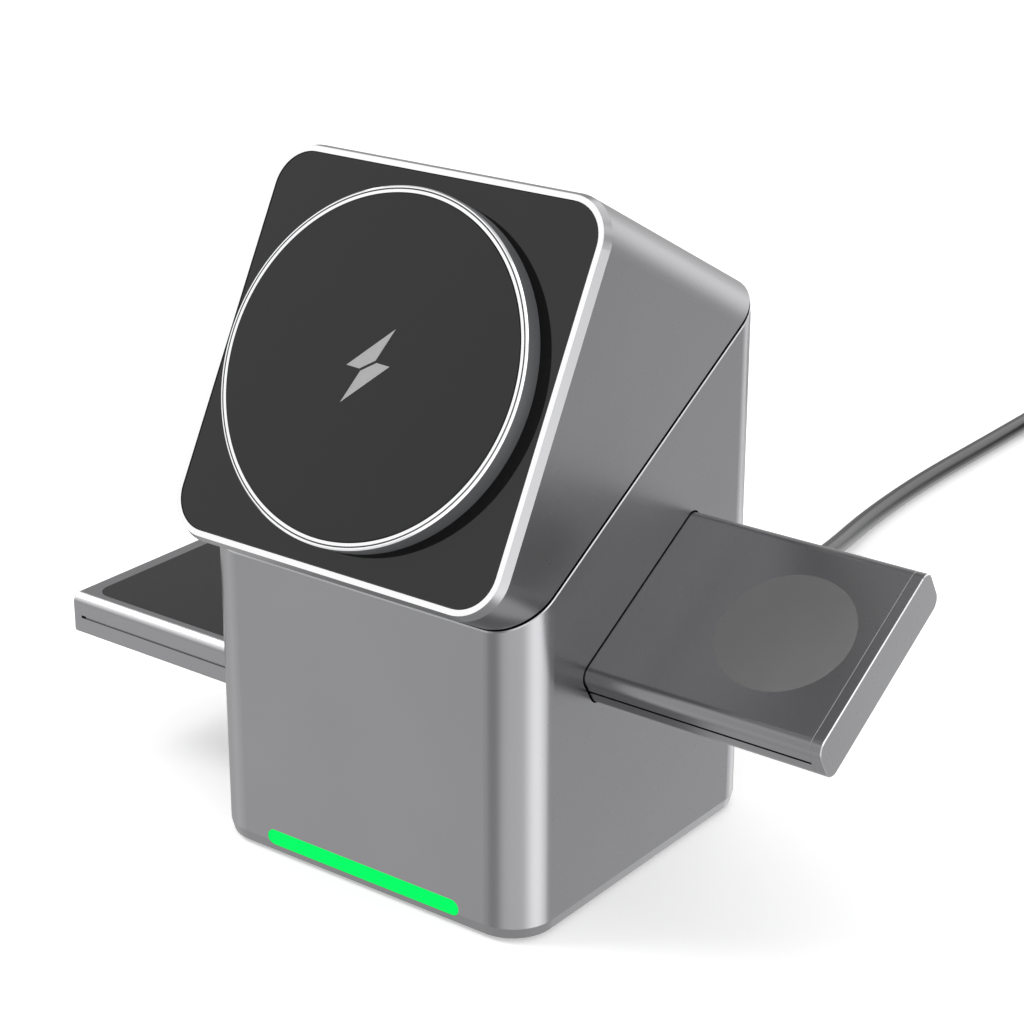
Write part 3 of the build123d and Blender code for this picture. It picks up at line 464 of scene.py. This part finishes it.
# Insert of the arm
# Round piece of translucent polycarbonate, let into the arm above its charging coil. It is finely
# etched, drawn at 0.25 mm, so that it looks grey and milky.
milky, tree, output, place = new_material("polycarbonate_milky")
cloud = add(tree, "TexNoise", {"Vector": place, "Scale": every(8), "Detail": 3})
etched = add(tree, "TexNoise", {"Vector": place, "Scale": every(0.25), "Detail": 1})
tone = add(tree, "Mix", {0: cloud.outputs["Fac"], 6: linear("#686868"), 7: linear("#6e6e6e")},
           data_type="RGBA")
gloss = add(tree, "MapRange", {"Value": cloud.outputs["Fac"], "To Min": 0.28, "To Max": 0.36})
skin = add(tree, "Bump", {"Height": etched.outputs["Fac"], "Strength": 0.1, "Distance": 0.00002})
shader = add(tree, "BsdfPrincipled", {"Base Color": tone.outputs[2], "Roughness": gloss.outputs["Result"],
                                      "IOR": 1.58, "Subsurface Weight": 0.3, "Subsurface Scale": 0.001,
                                      "Subsurface Radius": (1, 1, 1), "Normal": skin.outputs["Normal"]})
tree.links.new(shader.outputs[0], output.inputs[0])
dress(milky, "watch_disc")


# Plugs
# Each plug has a grip and a ringed sleeve, both moulded in one go from soft black plastic with a fine
# spark-eroded skin, drawn at 0.33 mm, and a drawn steel tube with a nickel coat.
moulded, tree, output, place = new_material("elastomer_moulded")
eroded = add(tree, "TexVoronoi", {"Vector": place, "Scale": every(0.33)})
worn = add(tree, "TexNoise", {"Vector": place, "Scale": every(11), "Detail": 3})
tone = add(tree, "Mix", {0: worn.outputs["Fac"], 6: linear("#202021"), 7: linear("#28282a")},
           data_type="RGBA")
gloss = add(tree, "MapRange", {"Value": worn.outputs["Fac"], "To Min": 0.5, "To Max": 0.62})
skin = add(tree, "Bump", {"Height": eroded.outputs["Distance"], "Strength": 0.2, "Distance": 0.00004})
shader = add(tree, "BsdfPrincipled", {"Base Color": tone.outputs[2], "Roughness": gloss.outputs["Result"],
                                      "IOR": 1.5, "Normal": skin.outputs["Normal"]})
tree.links.new(shader.outputs[0], output.inputs[0])
dress(moulded, "plug_body", "far_plug_body")

sleeve_thick, sleeve_thin, sleeve_core, sleeve_inner = 0.0029, 0.0023, 0.00222, 0.0019
sleeve_rings, sleeve_rounding = 7, 0.00012
for name, old in (("plug_sleeve", "strain_relief"), ("far_plug_sleeve", "far_strain_relief")):
    low, high = (Vector(corner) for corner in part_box(old))
    seat = Matrix.Translation(((low.x + high.x) / 2, low.y, (low.z + high.z) / 2)) @ Matrix.Rotation(
        -math.pi / 2, 4, "X")
    length = high.y - low.y
    pitch = length / (2 * sleeve_rings + 1)
    sleeve_profile = [(sleeve_inner, length), (sleeve_inner, 0)]
    for i in range(sleeve_rings + 1):
        starts, ends = 2 * i * pitch, (2 * i + 1) * pitch
        radii = [sleeve_thick + (sleeve_thin - sleeve_thick) * at / length for at in (starts, ends)]
        if i:
            sleeve_profile.append((sleeve_core, starts))
        sleeve_profile += [(radii[0], starts), (radii[1], ends)]
        if i < sleeve_rings:
            sleeve_profile.append((sleeve_core, ends))
    sleeve = turned(name, sleeve_profile, seat, steps=48)
    softened = sleeve.modifiers.new("moulded edges", "BEVEL")
    softened.width = sleeve_rounding
    softened.segments = 2
    softened.limit_method = "ANGLE"
    sleeve.data.materials.append(moulded)
    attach(sleeve, "base")
    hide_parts(old)

# Steel with a bright nickel coat: drawing the tube leaves lines of 2.5 by 0.3 mm along it
nickel, tree, output, place = new_material("steel_nickel_plated")
along = add(tree, "Mapping", {"Vector": place, "Scale": (9, 1, 9)})
drawn = add(tree, "TexNoise", {"Vector": along.outputs[0], "Scale": every(2.5), "Detail": 2})
gloss = add(tree, "MapRange", {"Value": drawn.outputs["Fac"], "To Min": 0.14, "To Max": 0.28})
shader = add(tree, "BsdfPrincipled", {"Base Color": linear("#dcdad3"), "Metallic": 1.0,
                                      "Roughness": gloss.outputs["Result"]})
tree.links.new(shader.outputs[0], output.inputs[0])
dress(nickel, "plug_shell", "far_plug_shell")


# Port
# Folded steel receptacle with a nickel coat, around a black tongue of glass-filled nylon. The fibres
# show as faint flecks, drawn at 0.55 mm.
nylon, tree, output, place = new_material("nylon_black")
fibres = add(tree, "TexNoise", {"Vector": place, "Scale": every(0.55), "Detail": 3})
tone = add(tree, "Mix", {0: fibres.outputs["Fac"], 6: linear("#161617"), 7: linear("#202022")},
           data_type="RGBA")
gloss = add(tree, "MapRange", {"Value": fibres.outputs["Fac"], "To Min": 0.4, "To Max": 0.55})
shader = add(tree, "BsdfPrincipled", {"Base Color": tone.outputs[2], "Roughness": gloss.outputs["Result"],
                                      "IOR": 1.53})
tree.links.new(shader.outputs[0], output.inputs[0])
low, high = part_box("usb_port")
port_height = (low[2] + high[2]) / 2
tongue_reach, tongue_half = 0.0034, 0.0004
paint("usb_port", (nickel, nylon),
      lambda middle, normal: int(abs(middle.x) < tongue_reach and abs(middle.z - port_height) < tongue_half))


# Bottom plate and other dark mouldings
# Glass-filled polycarbonate with a dull skin, grained at 0.6 mm: the plate in the bottom, the carrier
# of the phone pad and the bush that the head turns in.
grained, tree, output, place = new_material("polycarbonate_grained")
leather = add(tree, "TexVoronoi", {"Vector": place, "Scale": every(0.6)})
blotch = add(tree, "TexNoise", {"Vector": place, "Scale": every(16), "Detail": 2})
tone = add(tree, "Mix", {0: blotch.outputs["Fac"], 6: linear("#2a2a2b"), 7: linear("#313133")},
           data_type="RGBA")
gloss = add(tree, "MapRange", {"Value": leather.outputs["Distance"], "To Min": 0.5, "To Max": 0.65})
skin = add(tree, "Bump", {"Height": leather.outputs["Distance"], "Strength": 0.25, "Distance": 0.00005})
shader = add(tree, "BsdfPrincipled", {"Base Color": tone.outputs[2], "Roughness": gloss.outputs["Result"],
                                      "IOR": 1.58, "Normal": skin.outputs["Normal"]})
tree.links.new(shader.outputs[0], output.inputs[0])
dress(grained, "bottom_cover", "puck_base", "pivot_bush")


# Foot
# Sheet of silicone rubber glued under the bottom plate. Its calendered skin is dull, with a grain drawn
# at 0.45 mm, and slightly dusty.
rubber, tree, output, place = new_material("silicone_rubber_sheet")
rolled = add(tree, "TexNoise", {"Vector": place, "Scale": every(0.45), "Detail": 3})
dusty = add(tree, "TexNoise", {"Vector": place, "Scale": every(22), "Detail": 4})
tone = add(tree, "Mix", {0: dusty.outputs["Fac"], 6: linear("#3a3a3b"), 7: linear("#4a4a4a")},
           data_type="RGBA")
gloss = add(tree, "MapRange", {"Value": dusty.outputs["Fac"], "To Min": 0.7, "To Max": 0.9})
skin = add(tree, "Bump", {"Height": rolled.outputs["Fac"], "Strength": 0.3, "Distance": 0.00005})
shader = add(tree, "BsdfPrincipled", {"Base Color": tone.outputs[2], "Roughness": gloss.outputs["Result"],
                                      "IOR": 1.41, "Normal": skin.outputs["Normal"]})
tree.links.new(shader.outputs[0], output.inputs[0])
dress(rubber, "foot_pad")


# Sliding guides
# Moulded from acetal with a waxy surface, so that tray and arm slide in them without grease. The
# melt leaves faint flow marks of about 6.5 mm.
acetal, tree, output, place = new_material("acetal_dark_grey")
flow = add(tree, "TexNoise", {"Vector": place, "Scale": every(6.5), "Detail": 3, "Distortion": 0.6})
tone = add(tree, "Mix", {0: flow.outputs["Fac"], 6: linear("#3b3b3d"), 7: linear("#454547")},
           data_type="RGBA")
gloss = add(tree, "MapRange", {"Value": flow.outputs["Fac"], "To Min": 0.35, "To Max": 0.48})
shader = add(tree, "BsdfPrincipled", {"Base Color": tone.outputs[2], "Roughness": gloss.outputs["Result"],
                                      "IOR": 1.48})
tree.links.new(shader.outputs[0], output.inputs[0])
dress(acetal, "tray_guide", "arm_guide")


# Screws
# Steel with a thin zinc coat, bluish and slightly blotched, at 2 mm. The capacitor's can on the main
# board is as bright and takes the same finish.
zinc, tree, output, place = new_material("steel_zinc_plated")
blotch = add(tree, "TexNoise", {"Vector": place, "Scale": every(2), "Detail": 3})
tone = add(tree, "Mix", {0: blotch.outputs["Fac"], 6: linear("#b4b7ba"), 7: linear("#c9c9c2")},
           data_type="RGBA")
gloss = add(tree, "MapRange", {"Value": blotch.outputs["Fac"], "To Min": 0.25, "To Max": 0.42})
shader = add(tree, "BsdfPrincipled", {"Base Color": tone.outputs[2], "Metallic": 1.0,
                                      "Roughness": gloss.outputs["Result"]})
tree.links.new(shader.outputs[0], output.inputs[0])
dress(zinc, "cover_screws", "guide_screws", "board_screws", "head_board_screws")


# Pivot
# Spindle, nut, washer and pin are turned from bright steel; fine ring marks of about 0.2 mm remain.
turned_steel, tree, output, place = new_material("steel_turned")
seat = Matrix.Translation(Vector(hinge["pos_m"])) @ Matrix.Rotation(split_angle, 4, "X")
lean = seat.inverted()
local = add(tree, "Mapping", {"Vector": place, "Location": lean.translation, "Rotation": lean.to_euler()})
wave = math.pi / 10  # a wave pattern repeats at this share of its own unit
marks = add(tree, "TexWave", {"Vector": local.outputs[0], "Scale": every(0.2) * wave, "Distortion": 1.5,
                              "Detail": 2}, wave_type="RINGS", rings_direction="Z")
gloss = add(tree, "MapRange", {"Value": marks.outputs["Fac"], "To Min": 0.2, "To Max": 0.36})
cut = add(tree, "Bump", {"Height": marks.outputs["Fac"], "Strength": 0.2, "Distance": 0.00001})
shader = add(tree, "BsdfPrincipled", {"Base Color": linear("#bdbbb8"), "Metallic": 1.0,
                                      "Roughness": gloss.outputs["Result"], "Normal": cut.outputs["Normal"]})
tree.links.new(shader.outputs[0], output.inputs[0])
dress(turned_steel, "spindle", "thrust_washer", "spindle_nut", "stop_pin")

# Spring steel, hardened: straw and blue tempering colours in patches of 5.5 mm
tempered, tree, output, place = new_material("spring_steel_tempered")
tint = add(tree, "TexNoise", {"Vector": place, "Scale": every(5.5), "Detail": 2})
tone = add(tree, "Mix", {0: tint.outputs["Fac"], 6: linear("#5d6470"), 7: linear("#86796a")},
           data_type="RGBA")
gloss = add(tree, "MapRange", {"Value": tint.outputs["Fac"], "To Min": 0.28, "To Max": 0.4})
shader = add(tree, "BsdfPrincipled", {"Base Color": tone.outputs[2], "Metallic": 1.0,
                                      "Roughness": gloss.outputs["Result"]})
tree.links.new(shader.outputs[0], output.inputs[0])
dress(tempered, "disc_spring")


# Ballast
# Plate of mild steel with a dull dark coat of phosphate. Its crystals are about 0.02 mm and are drawn
# at 0.4 mm.
phosphated, tree, output, place = new_material("steel_phosphated")
crystals = add(tree, "TexVoronoi", {"Vector": place, "Scale": every(0.4)})
tone = add(tree, "Mix", {0: crystals.outputs["Distance"], 6: linear("#4c4a48"), 7: linear("#6b6966")},
           data_type="RGBA")
gloss = add(tree, "MapRange", {"Value": crystals.outputs["Distance"], "To Min": 0.45, "To Max": 0.65})
shader = add(tree, "BsdfPrincipled", {"Base Color": tone.outputs[2], "Metallic": 1.0,
                                      "Roughness": gloss.outputs["Result"]})
tree.links.new(shader.outputs[0], output.inputs[0])
dress(phosphated, "ballast_plate")


# Circuit boards
# Glass-fibre boards with a green solder mask, through which the weave of 0.5 mm shows, chips in black
# epoxy, coils in grey sintered cases and a capacitor in a bright can. The board behind the light strip
# is white, with yellow diodes.
mask, tree, output, place = new_material("solder_mask_green")
weave = add(tree, "TexBrick", {"Vector": place, "Scale": every(1.1), "Color1": linear("#0d4a27"),
                               "Color2": linear("#12552e"), "Mortar": linear("#0a3d20")})
gloss = add(tree, "MapRange", {"Value": weave.outputs["Fac"], "To Min": 0.3, "To Max": 0.45})
shader = add(tree, "BsdfPrincipled", {"Base Color": weave.outputs["Color"],
                                      "Roughness": gloss.outputs["Result"]})
tree.links.new(shader.outputs[0], output.inputs[0])
tallest_part, chip_height, chip_reach, capacitor_reach, hair = 0.0055, 0.00095, 0.0135, 0.0026, 0.00005
board_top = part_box("main_board")[1][2] - tallest_part


def main_part(middle, normal):
    """0 is the board, 1 a chip, 2 a coil's case and 3 the capacitor."""
    if middle.z < board_top + hair:
        return 0
    if abs(middle.x) < capacitor_reach:
        return 3
    looks_down = normal.z < -0.5
    is_chip = middle.z < board_top + chip_height and abs(middle.x) < chip_reach and not looks_down
    return 1 if is_chip else 2


# Sintered ferrite: dull dark grey with pale grains, drawn at 0.3 mm
ferrite, tree, output, place = new_material("ferrite_sintered")
grains = add(tree, "TexVoronoi", {"Vector": place, "Scale": every(0.3)})
tone = add(tree, "Mix", {0: grains.outputs["Distance"], 6: linear("#29292b"), 7: linear("#47474a")},
           data_type="RGBA")
gloss = add(tree, "MapRange", {"Value": grains.outputs["Distance"], "To Min": 0.5, "To Max": 0.7})
shader = add(tree, "BsdfPrincipled", {"Base Color": tone.outputs[2], "Roughness": gloss.outputs["Result"],
                                      "IOR": 2.0})
tree.links.new(shader.outputs[0], output.inputs[0])
dress(ferrite, "tray_ferrite", "watch_ferrite", "phone_ferrite")
paint("main_board", (mask, nylon, ferrite, zinc), main_part)
head_board_top, chips_end = -0.01395, 0.0065


def head_part(middle, normal):
    """0 is the board, 1 a chip and 2 a coil's case."""
    if (to_pad @ middle).z < head_board_top:
        return 0
    return 2 if middle.x > chips_end else 1


paint("head_board", (mask, nylon, ferrite), head_part)

# White solder mask, and the yellow phosphor of the diodes, both with specks of 0.7 mm
for name, dark, pale_tone in (("solder_mask_white", "#d9d9d4", "#e8e8e4"),
                              ("diode_phosphor", "#d8b23a", "#e6c655")):
    made, tree, output, place = new_material(name)
    speck = add(tree, "TexNoise", {"Vector": place, "Scale": every(0.7), "Detail": 2})
    tone = add(tree, "Mix", {0: speck.outputs["Fac"], 6: linear(dark), 7: linear(pale_tone)},
               data_type="RGBA")
    gloss = add(tree, "MapRange", {"Value": speck.outputs["Fac"], "To Min": 0.3, "To Max": 0.45})
    shader = add(tree, "BsdfPrincipled", {"Base Color": tone.outputs[2],
                                          "Roughness": gloss.outputs["Result"]})
    tree.links.new(shader.outputs[0], output.inputs[0])
diode_depth, rounding = 0.0006, 0.00001
diode_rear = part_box("light_board")[0][1] + diode_depth
paint("light_board", (bpy.data.materials["solder_mask_white"], bpy.data.materials["diode_phosphor"]),
      lambda middle, normal: int(middle.y < diode_rear - rounding))


# Charging coils
# Flat windings of enamelled copper strand, drawn as rings of 0.6 mm around each coil's middle. Each ring
# darkens to brown between the turns: painted shade in the grooves between the wires.
for name, tilt in (("tray_coil", 0), ("watch_coil", split_angle), ("phone_coil", 2 * split_angle)):
    low, high = (Vector(corner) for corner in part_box(name))
    lean = (Matrix.Translation((low + high) / 2) @ Matrix.Rotation(tilt, 4, "X")).inverted()
    made, tree, output, place = new_material("enamelled_copper_" + name)
    local = add(tree, "Mapping", {"Vector": place, "Location": lean.translation, "Rotation": lean.to_euler()})
    strands = add(tree, "TexWave", {"Vector": local.outputs[0], "Scale": every(0.6) * wave},
                  wave_type="RINGS", rings_direction="Z")
    # the dark brown is painted shade between the turns, the copper colour is their crowns
    tone = add(tree, "Mix", {0: strands.outputs["Fac"], 6: linear("#5a2412"), 7: linear("#c4703f")},
               data_type="RGBA")
    gloss = add(tree, "MapRange", {"Value": strands.outputs["Fac"], "To Min": 0.45, "To Max": 0.25})
    wound = add(tree, "Bump", {"Height": strands.outputs["Fac"], "Strength": 0.5, "Distance": 0.0001})
    shader = add(tree, "BsdfPrincipled", {"Base Color": tone.outputs[2], "Metallic": 0.8,
                                          "Roughness": gloss.outputs["Result"],
                                          "Normal": wound.outputs["Normal"]})
    tree.links.new(shader.outputs[0], output.inputs[0])
    dress(made, name)


# Magnets
# Sintered magnets with a nickel coat; it is bright, with a slight orange-peel skin of 1.1 mm.
plated, tree, output, place = new_material("magnet_nickel_coat")
peel = add(tree, "TexNoise", {"Vector": place, "Scale": every(1.1), "Detail": 2})
gloss = add(tree, "MapRange", {"Value": peel.outputs["Fac"], "To Min": 0.16, "To Max": 0.26})
skin = add(tree, "Bump", {"Height": peel.outputs["Fac"], "Strength": 0.2, "Distance": 0.00003})
shader = add(tree, "BsdfPrincipled", {"Base Color": linear("#cfcdc7"), "Metallic": 1.0,
                                      "Roughness": gloss.outputs["Result"], "Normal": skin.outputs["Normal"]})
tree.links.new(shader.outputs[0], output.inputs[0])
dress(plated, "watch_magnet", "puck_magnets")


bpy.context.scene.view_settings.view_transform = "Standard"
